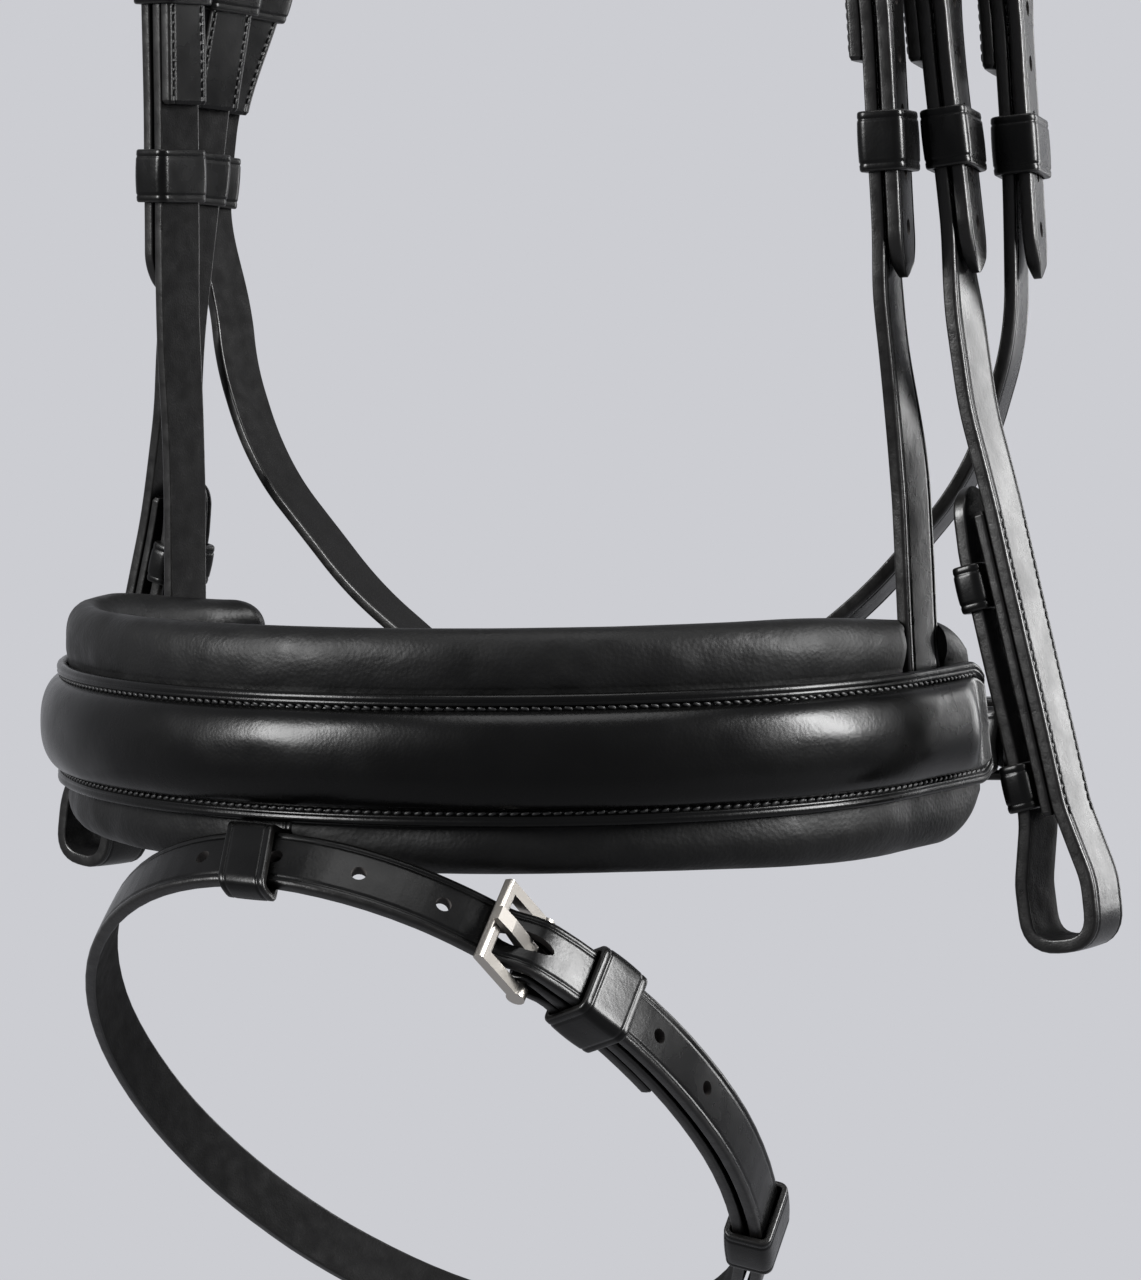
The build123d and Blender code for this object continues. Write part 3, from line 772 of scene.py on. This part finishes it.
def throatlash():
    """One strap from buckle to buckle, which hangs in an uneven bow as in the photo."""
    width, thick = WIDTHS["throat"], 2.9
    near_end = [near_throat_xz(u, v) for u, v in [CHAPE_END] + FOLD + [(MAIN_U, -62.0)]]
    near_bow = [(110.8, -98.0), (101.5, -128.0), (72.5, -159.0), (36.0, -182.0)]
    off_bow = [(-31.0, -181.0), (-66.5, -157.5), (-97.5, -127.0), (-109.5, -99.0)]
    off_end = [(-x, z) for x, z in reversed(near_end)]
    half_radii = FOLD_RADII + [300.0, 60.0, 90.0, 120.0, 80.0]
    path = rounded(near_end + near_bow + off_bow + off_end, half_radii + half_radii[::-1])
    lowest = min(p.y for p in path)
    THROAT_LINE.extend(throat_local("near", p.x, p.y, 0)[:2] for p in path
                       if p.x > 0 and lowest + 0.01 < p.y < -60.0)
    THROAT_LINE.sort(key=lambda pair: -pair[1])
    strap("throatlash_strap", throat_place, path, 1, width, thick, "throatlash", ("throatlash",),
          thin=fold_thin)
    full = lengths(path)[-1]
    runs = [STITCHED_CHAPE, STITCHED_MIDDLE]
    runs += [(full - stop, full - start) for start, stop in reversed(runs)]
    stitches("throatlash_stitches", "throatlash", throat_place, path, 1, edge_rows(thick, width, runs))


throatlash()


# ---------------------------------------------------------------- padded strips
def cushion_section(width, thick):
    """Fat rounded outline for a padded strip, a little waisted between its two rolls."""
    corners, waist = 40, 0.18
    out = []
    for k in range(corners):
        a = 2 * math.pi * k / corners
        c, s = math.cos(a), math.sin(a)
        w = width / 2 * math.copysign(abs(c) ** 0.55, c)
        pinch = 1 - waist * math.exp(-(w / (width * 0.22)) ** 2)
        out.append((thick / 2 * math.copysign(abs(s) ** 0.62, s) * pinch, w))
    return out


def cushion(name, base, points, sense, section, body, nodes, shape=None, run=10.0, swell=0.35):
    """A padded strip with rounded ends and soft unevenness."""
    points = densify_ends(points, [run, run])
    total = lengths(points)
    seed = random.random() * 40
    rings = []
    for p, n, s in zip(points, normals(points, sense), total):
        t = min(s / run, (total[-1] - s) / run, 1.0)
        k = math.sqrt(max(1 - (1 - t) ** 2, 0.0025))
        ring = []
        for d, w in section:
            if shape:
                d = shape(p, d, w)
            soft = swell * noise.noise(Vector((s / 13.0, w / 9.0, seed)))
            soft += swell * 0.35 * noise.noise(Vector((s / 4.0, w / 4.0, seed + 7)))
            q = p + n * ((d + soft) * k)
            ring.append(base(q.x, q.y, w * (0.62 + 0.38 * k)))
        rings.append(ring)
    verts, faces, indices = skin(rings, [0] * len(section))
    piece = finish_mesh(name, verts, faces, [NAPPA], [0] * len(faces), body, "lining_leather", nodes)


# ---------------------------------------------------------------- headpiece
def arc(radius, height, start, stop):
    """Points every two degrees round the headpiece's arch."""
    angles = [math.radians(k) for k in range(start, stop + 1, 2)]
    return [Vector((radius * math.cos(a), height + radius * math.sin(a))) for a in angles]


def headpiece():
    middle, width = lengthwise(crown_box)
    base = Base((0, middle, 0), (1, 0, 0), (0, 0, 1))
    leg = [Vector((LEG_X, LEG_TOP_Z)), Vector((LEG_X, ARCH_Z - 12.0))]
    path = leg + arc(LEG_X, ARCH_Z, 0, 180) + [Vector((-p.x, p.y)) for p in reversed(leg)]
    strap("headpiece_crown", base, path, -1, width, 3.4, "headpiece", ("headpiece",), wave=0.2)
    stitches("headpiece_stitches", "headpiece", base, path, -1,
             [(1.7, hand * (width / 2 - 3.6), 3.0, -3.0) for hand in (-1, 1)])
    pad_middle, pad_width = lengthwise(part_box("headpiece_pad"))
    pad_radius = LEG_X - STRAP_T / 2 - PAD_GAP - PAD_T / 2
    cushion("headpiece_cushion", Base((0, pad_middle, 0), (1, 0, 0), (0, 0, 1)),
            arc(pad_radius, ARCH_Z, 28, 152), -1, cushion_section(pad_width, PAD_T), "headpiece",
            ("headpiece_pad",))


headpiece()


# ---------------------------------------------------------------- browband
def bow(a, b, y0, start=180, stop=360):
    """Half an ellipse round the front, as 2D points."""
    angles = [math.radians(k) for k in range(start, stop + 1, 2)]
    return [Vector((-a * math.cos(t), y0 + b * math.sin(t))) for t in angles]


def browband():
    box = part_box("browband")
    base = Base((0, 0, (box[0][2] + box[1][2]) / 2), (1, 0, 0), (0, 1, 0))
    arm_x = LEG_X + STRAP_T / 2 + 2.0
    front, back = crown_box[0][1] / MM - 2.0, crown_box[1][1] / MM + 1.8
    arm = [Vector((arm_x, back)), Vector((arm_x, (back + front) / 2))]
    path = arm + bow(arm_x, 80.0, front) + [Vector((-p.x, p.y)) for p in reversed(arm)]
    strap("browband_shell", base, path, 1, 20.0, 2.8, "browband", ("browband",), wave=0.2)
    stitches("browband_stitches", "browband", base, path, 1,
             [(1.4, hand * 7.6, 3.0, -3.0) for hand in (-1, 1)])
    outer, inner = arm_x - 1.2, LEG_X - 3.4
    for side, sign in SIDES.items():
        loop = rounded([(sign * outer, front + 0.2), (sign * inner, front + 0.2),
                        (sign * inner, back), (sign * outer, back)], 2.4)
        strap(f"browband_loop_{side}", base, loop, 1, 19.6, 2.3, "browband", wave=0.05)
    cushion("browband_cushion", base, bow(arm_x - 4.4, 75.6, front, 188, 352), 1,
            cushion_section(26.0, 5.6), "browband", ("browband_lining",), run=8.0)


browband()

# ---------------------------------------------------------------- noseband
shell_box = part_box("noseband_shell")
NOSE_Z = (shell_box[0][2] + shell_box[1][2]) / 2 / MM
ROLL_RISE = 6.3
FLANGE_D = 2.0
NOSE_A = shell_box[1][0] / MM - ROLL_RISE
NOSE_B = -shell_box[0][1] / MM - ROLL_RISE
SHELL_BACK = shell_box[1][1] / MM
SHELL_HALF = 14.0
SHELL_SHARE = 0.95
LINING_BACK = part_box("noseband_lining")[1][1] / MM
HANGER_Y = station("hanger", "near")(MAIN_U, -169.0, 0).y / MM
PITCH = math.tan(math.radians(1.5))
PITCH_Y = -29.5
nose_base = Base((0, 0, NOSE_Z * MM), (1, 0, 0), (0, 1, 0))


def settled(x, y):
    """The off side end hangs a little closer in than the near one."""
    return x + 8.0 * eased(y, 0.0, 38.0) * (1 - eased(y, 40.0, 84.0)) if x < 0 else x


def nose_place(x, y, z):
    """The noseband dips to the front, its ends slant and its lining gets lower towards the back."""
    slant = 6.0 * (z + SHELL_HALF) / (2 * SHELL_HALF) * eased(y, 4.0, SHELL_BACK)
    lowered = (3.4 if x > 0 else 4.6) * eased(y, -34.0, 24.0) * max(0.0, z - SHELL_HALF) / 12.0
    lowered += 2.2 * eased(y, -70.0, 0.0) * max(0.0, -SHELL_HALF - z) / 10.0
    return nose_base(settled(x, y), y - slant, z - lowered + (y - PITCH_Y) * PITCH)


def nose_line(back):
    """From one end round the front to the other."""
    arm = [Vector((NOSE_A, back * (1 - k / 12))) for k in range(12)]
    angles = [math.radians(180 + k) for k in range(181)]
    front = [Vector((-NOSE_A * math.cos(t), NOSE_B * math.sin(t))) for t in angles]
    return arm + front + [Vector((-p.x, p.y)) for p in reversed(arm)]


def shell_section():
    """Outline as (depth, height, on the roll): piped lip and flange, raised roll, the same above, back."""
    lower = [(0.5, -14.0), (1.1, -14.15), (1.8, -14.1), (2.25, -13.75), (2.4, -13.3), (2.42, -12.9),
             (2.30, -12.6), (2.20, -12.45), (2.30, -12.3), (2.38, -12.05), (2.30, -11.75),
             (1.95, -11.5), (1.65, -11.2), (1.62, -10.9), (1.9, -10.6)]
    half = [(d, z, False) for d, z in lower]
    for k in range(1, 25):
        t = -1 + k / 24
        half.append((FLANGE_D + (ROLL_RISE - FLANGE_D) * (1 - abs(t) ** 2.3) ** 0.62, 10.6 * t, True))
    upper = [(d, -z, on_roll) for d, z, on_roll in reversed(half[:-1])]
    return half + upper + [(0.0, z, False) for z in (13.4, 7.0, 0.0, -7.0, -13.4)]


def noseband_shell():
    """The shell, whose roll runs out flat and whose corners are rounded at its two ends."""
    section = shell_section()
    outside = len(section) - 5
    parts = [FACE_PART] * outside + [FLESH_PART] * 5
    for i in (0, 1, outside - 1, outside - 2):
        parts[i] = EDGE_PART
    path = densify_ends(nose_line(SHELL_BACK), [9.0, 9.0])
    total = lengths(path)
    r, flat_d = 6.5, 2.3
    rings = []
    for p, n, s in zip(path, normals(path, 1), total):
        end = min(s, total[-1] - s)
        cut = math.sqrt(max(r * r - (r - end) ** 2, 0.0)) if end <= r else r
        corner = (SHELL_HALF - r + cut) / SHELL_HALF
        level = eased(end, 5.0, 14.0)
        pared = 0.6 + 0.4 * min(end / 1.2, 1.0)
        ring = []
        for d, z, on_roll in section:
            if on_roll:
                d = flat_d + (d - flat_d) * level
            if d > 1 or on_roll:
                d += 0.18 * noise.noise(Vector((s / 16.0, z / 9.0, 3.0)))
            q = p + n * (d * pared)
            ring.append(nose_place(q.x, q.y, z * corner * SHELL_SHARE))
        rings.append(ring)
    verts, faces, indices = skin(rings, parts)
    finish_mesh("noseband_shell_leather", verts, faces, [SHELL, EDGE, FLESH], indices, "noseband",
                "bridle_leather", ("noseband_shell",))
    store = ([], [])
    for hand in (-1, 1):
        stitch_run(store, nose_place, path, 1, 1.75, hand * 11.15 * SHELL_SHARE, 4.0, -4.0,
                   pitch=2.15, radius=0.42, slant=0.3 * hand)
    finish_mesh("noseband_stitches", *store, [THREAD], [0] * len(store[1]), "noseband", "bridle_leather")


def lining_section():
    """Padded lining: two fat rolls that stand out above and below the shell."""
    keys = [(-0.35, -12.0), (-0.35, -13.6), (-0.1, -15.5), (0.0, -17.8), (-0.6, -20.1), (-2.0, -22.2),
            (-4.2, -23.6), (-6.6, -23.5), (-8.8, -21.7), (-9.8, -18.2), (-9.9, -14.0), (-9.0, -8.5),
            (-7.6, -3.0), (-7.2, 2.0), (-7.8, 8.0), (-9.2, 14.0), (-9.8, 18.6), (-9.2, 22.4),
            (-7.4, 25.0), (-4.9, 26.3), (-2.3, 25.6), (-0.5, 23.4), (0.3, 20.4), (0.3, 17.2),
            (-0.1, 14.8), (-0.35, 13.0), (-0.4, 4.0), (-0.4, -4.0)]
    out = []
    n = len(keys)
    for i in range(n):
        p0, p1, p2, p3 = (Vector(keys[(i + k) % n]) for k in (-1, 0, 1, 2))
        for k in range(3):
            t = k / 3
            out.append(tuple(0.5 * ((2 * p1) + (p2 - p0) * t + (2 * p0 - 5 * p1 + 4 * p2 - p3) * t * t
                                    + (3 * p1 - p0 - 3 * p2 + p3) * t ** 3)))
    return out


def dent(p, d, w):
    """The lining gives way where a hanger strap runs down between it and the shell."""
    if abs(p.x) > 60 and w > -2:
        return min(d, -3.9 + 8.5 * eased(abs(p.y - HANGER_Y), 6.2, 13.0))
    return d


noseband_shell()
cushion("noseband_lining_cushion", nose_place, nose_line(LINING_BACK), 1, lining_section(), "noseband",
        ("noseband_lining", "noseband_filler"), shape=dent, run=13.0, swell=0.45)


# ---------------------------------------------------------------- straps that run round an ellipse
class Ring:
    """An ellipse of half axes a and b in a base plane, with a buckle's bar at an angle on it."""

    def __init__(self, base, a, b, v_sense):
        self.base, self.a, self.b, self.v_sense = base, a, b, v_sense

    def point(self, degrees, offset=0.0, inset=0.0):
        t = math.radians(degrees)
        a, b = self.a - inset, self.b - inset
        n = Vector((math.cos(t) / a, math.sin(t) / b)).normalized()
        return Vector((a * math.cos(t), b * math.sin(t))) + n * offset

    def frame(self, degrees):
        """Bar position, outward and up-strap directions."""
        at = self.point(degrees, inset=MAIN_U)
        out = self.point(degrees, 1, inset=MAIN_U) - at
        return at, out, Vector((-out.y, out.x)) * self.v_sense

    def keeper_base(self, degrees):
        at, out, along = self.frame(degrees)
        x_dir, y_dir = (self.base.x_dir * d.x + self.base.y_dir * d.y for d in (out, along))
        return Base(self.base(at.x, at.y, 0), x_dir, y_dir)


def pared_at(bar, share):
    """A strap pared thinner by this share where it turns round the bar."""
    return lambda p: 1 - share * (1 - eased((p - bar).length, 3.0, 9.0))


# ---------------------------------------------------------------- jaw strap
JAW_A, JAW_B, JAW_W = NOSE_A - 2.6, 50.0, 14.0
JAW_BAR, JAW_RUNNER = 38.0, 17.0
jaw_base = Base((0, SHELL_BACK * MM, JOINTS["jaw_tongue_turn"]["pos_m"][2]), (1, 0, 0), (0, 1, 0))


def jaw_place(x, y, w):
    return jaw_base(settled(x, y + SHELL_BACK), y, w)


def jaw_strap():
    ring = Ring(jaw_base, JAW_A, JAW_B, 1)
    at, out, along = ring.frame(JAW_BAR)
    sewn_in = [Vector((JAW_A, -20.0)), Vector((JAW_A, -8.0))]
    buckled = sewn_in + [ring.point(d) for d in range(0, 34, 3)]
    radii = [6.0] * (len(buckled) - 1) + FOLD_RADII[::-1]
    buckled += [at + out * u + along * v for u, v in FOLD[::-1]] + [at + out * UNDER_U + along * -12.0]
    strap("jaw_strap_buckle_piece", jaw_place, rounded(buckled, radii), -1, JAW_W, 2.9, "noseband",
          ("jaw_strap_near",), thin=pared_at(at, 0.38))
    path = [Vector((-p.x, p.y)) for p in sewn_in]
    path += [ring.point(d, RING_LIFT * (1 - eased(d, 39.0, 46.5)))
             for d in [*range(176, 56, -4), *range(54, 6, -2)]]
    billet = strap("jaw_strap_holed_piece", jaw_place, path, 1, JAW_W, 3.0, "noseband", ("jaw_strap_off",),
                   ends=("square", "point"))
    tongue_at = lengths(path)[nearest(path, at + along * 6.0)]
    spare = [tongue_at + HOLE_PITCH * k for k in (-4, -3, -2, -1)]
    holes_along(billet, jaw_place, path, 1, spare, 1.4, 1.2)
    holes_along(billet, jaw_place, path, 1, [tongue_at], TONGUE_HOLE, 3.2)
    keeper("jaw_runner_loop", ring.keeper_base(JAW_RUNNER), 0.0, MAIN_U - 1.6, MAIN_U + RING_LIFT + 1.5,
           JAW_W, 9.5, "jaw_runner", ("jaw_keeper",), gap=0.7)


jaw_strap()

# ---------------------------------------------------------------- flash
FLASH_A, FLASH_B, FLASH_W = 71.3, 88.0, 13.0
FLASH_BAR = -39.0
flash_joint = JOINTS["flash_tongue_turn"]
flash_n = Vector(flash_joint["axis"]).normalized()
flash_d = flash_n.cross(Vector((1, 0, 0))).normalized()
flash_x = flash_d.cross(flash_n)
flash_base = Base((0, 0, 0), flash_x, flash_d)
flash_ring = Ring(flash_base, FLASH_A, FLASH_B, -1)
bar_at = flash_ring.frame(FLASH_BAR)[0]
flash_base.origin = Vector(flash_joint["pos_m"]) - (flash_x * bar_at.x + flash_d * bar_at.y) * MM


def flash_strap():
    """Folded round its bar, once round the muzzle and back over itself to its holed end."""
    base, ring = flash_base, flash_ring
    at, out, along = ring.frame(FLASH_BAR)
    inner = [ring.point(d, -3.1) for d in range(-12, -35, -3)]
    outer = [ring.point(d, RING_LIFT * eased(d, 314.5, 320.5))
             for d in [*range(-33, 304, 4), *range(305, 333, 2), *range(335, 409, 4)]]
    path = rounded(inner + [at + out * u + along * v for u, v in FOLD] + outer,
                   [5.0] * (len(inner) - 1) + FOLD_RADII + [8.0] * (len(outer) - 1))
    flash = strap("flash_strap_leather", base, path, -1, FLASH_W, 2.7, "flash", ("flash_strap",),
                  ends=("square", "point"), thin=pared_at(at, 0.35))
    total = lengths(path)
    once_round = next(i for i, s in enumerate(total) if s > 200)
    target = ring.point(318.0, 1.5)
    tongue_at = total[once_round + nearest(path[once_round:], target)]
    spare = [tongue_at + HOLE_PITCH * k for k in (-4, -3, -2, -1, 1, 2, 3)]
    holes_along(flash, base, path, -1, spare, 1.55, 1.05)
    holes_along(flash, base, path, -1, [tongue_at], TONGUE_HOLE, 3.2)
    high_u = MAIN_U + RING_LIFT + 1.4
    keeper("flash_fixed_loop", ring.keeper_base(-28.0), 0.0, MAIN_U - 4.6, high_u, FLASH_W, 12.2,
           "flash", ("flash_keeper_fixed",), gap=0.45)
    keeper("flash_runner_loop", ring.keeper_base(26.0), 0.0, MAIN_U - 1.5, high_u, FLASH_W, 13.0,
           "flash_runner", ("flash_keeper",), gap=0.45)


def flash_tab():
    """The tab that hangs from the noseband and carries the flash in its loop."""
    front = flash_base(0, -FLASH_B, 0)
    base = Base((front.x, 0, NOSE_Z * MM), (0, -1, 0), (0, 0, 1))
    across = Vector((-flash_n.y, flash_n.z))
    outward = Vector((flash_d.y, -flash_d.z))
    centre = Vector((-front.y / MM, front.z / MM - NOSE_Z))

    def place(x, z, w):
        """The loop has turned a little on the strap, its lower side towards the near side."""
        height = (Vector((x, z)) - centre).dot(across)
        return base(x, z, w - 3.9 + 0.39 * max(-8.5, min(height, 8.5)))

    corners = ((2.5, 6.9), (2.5, -8.0), (-2.5, -8.0), (-2.5, 5.8))
    loop = [centre + outward * u + across * w for u, w in corners]
    path = rounded([(93.0, -6.0), (92.6, -18.2)] + loop, [1.6, 1.8, 1.8, 1.8], 0.6)
    tab = strap("flash_tab_leather", place, path, 1, 12.0, 1.7, None, ("flash_tab", "flash_loop"),
                wave=0.05)
    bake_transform(tab)


flash_strap()
flash_tab()

# ---------------------------------------------------------------- metal kept from the CAD
for name, obj in frame["nodes"].items():
    if "buckle" in name or "tongue" in name:
        obj.data.materials.clear()
        obj.data.materials.append(STEEL)
        soften = obj.modifiers.new("soften", "BEVEL")
        soften.width = 0.5 * MM
        soften.segments = 4
        soften.limit_method = "ANGLE"
        soften.angle_limit = math.radians(35)

# ---------------------------------------------------------------- floor, light, camera
FLOOR_DROP = 0.35
BACKDROP = (0.604, 0.610, 0.645)
TARGET = Vector((0, 0, NOSE_Z * MM))


def toward(azimuth, elevation):
    """Direction from the target to a viewer at this angle, in degrees round from the nose."""
    a, e = math.radians(azimuth), math.radians(elevation)
    return Vector((math.sin(a) * math.cos(e), -math.cos(a) * math.cos(e), math.sin(e)))


def aim(obj, direction):
    obj.rotation_mode = "QUATERNION"
    obj.rotation_quaternion = direction.to_track_quat("-Z", "Y")


def pale_floor():
    bpy.ops.mesh.primitive_circle_add(vertices=96, radius=1.3, fill_type="NGON",
                                      location=(0, 0, cad_low[2] - FLOOR_DROP))
    floor = bpy.context.object
    floor.name = "floor"
    floor.data.materials.append(FLOOR)


def studio_world():
    world = bpy.data.worlds.new("studio")
    bpy.context.scene.world = world
    world.use_nodes = True
    background = world.node_tree.nodes["Background"]
    background.inputs["Color"].default_value = (*BACKDROP, 1)
    background.inputs["Strength"].default_value = 1.0
    bpy.context.scene.view_settings.view_transform = "Standard"


def softbox(name, azimuth, elevation, distance, width, height, power):
    light = bpy.data.lights.new(name, "AREA")
    light.shape = "RECTANGLE"
    light.size, light.size_y = width, height
    light.energy = power
    obj = new_object(name, light)
    obj.location = TARGET + toward(azimuth, elevation) * distance
    aim(obj, -toward(azimuth, elevation))


def photo_camera():
    """At the photo's angle and distance, aimed a little past the noseband, as the photo is framed."""
    azimuth, elevation, distance = 36.0, 4.63, 0.85
    aim_right, aim_up = 0.016176, 0.020053
    back = toward(azimuth, elevation)
    right = Vector((math.cos(math.radians(azimuth)), math.sin(math.radians(azimuth)), 0))
    data = bpy.data.cameras.new("camera")
    data.sensor_width = 36.0
    data.lens = 105.1875
    data.clip_start, data.clip_end = 0.05, 20.0
    camera = new_object("camera", data)
    camera.location = TARGET + back * distance
    aim(camera, right * aim_right + back.cross(right) * aim_up - back)
    bpy.context.scene.camera = camera


pale_floor()
studio_world()
softbox("softbox_left", -26, 24, 1.5, 0.40, 0.7, 84)
softbox("softbox_right", 107, 22, 1.5, 0.40, 0.8, 125)
softbox("softbox_behind_right", 160, 9, 1.5, 0.35, 0.7, 11.0)
softbox("softbox_top", 40, 78, 1.6, 0.9, 0.9, 22)
photo_camera()
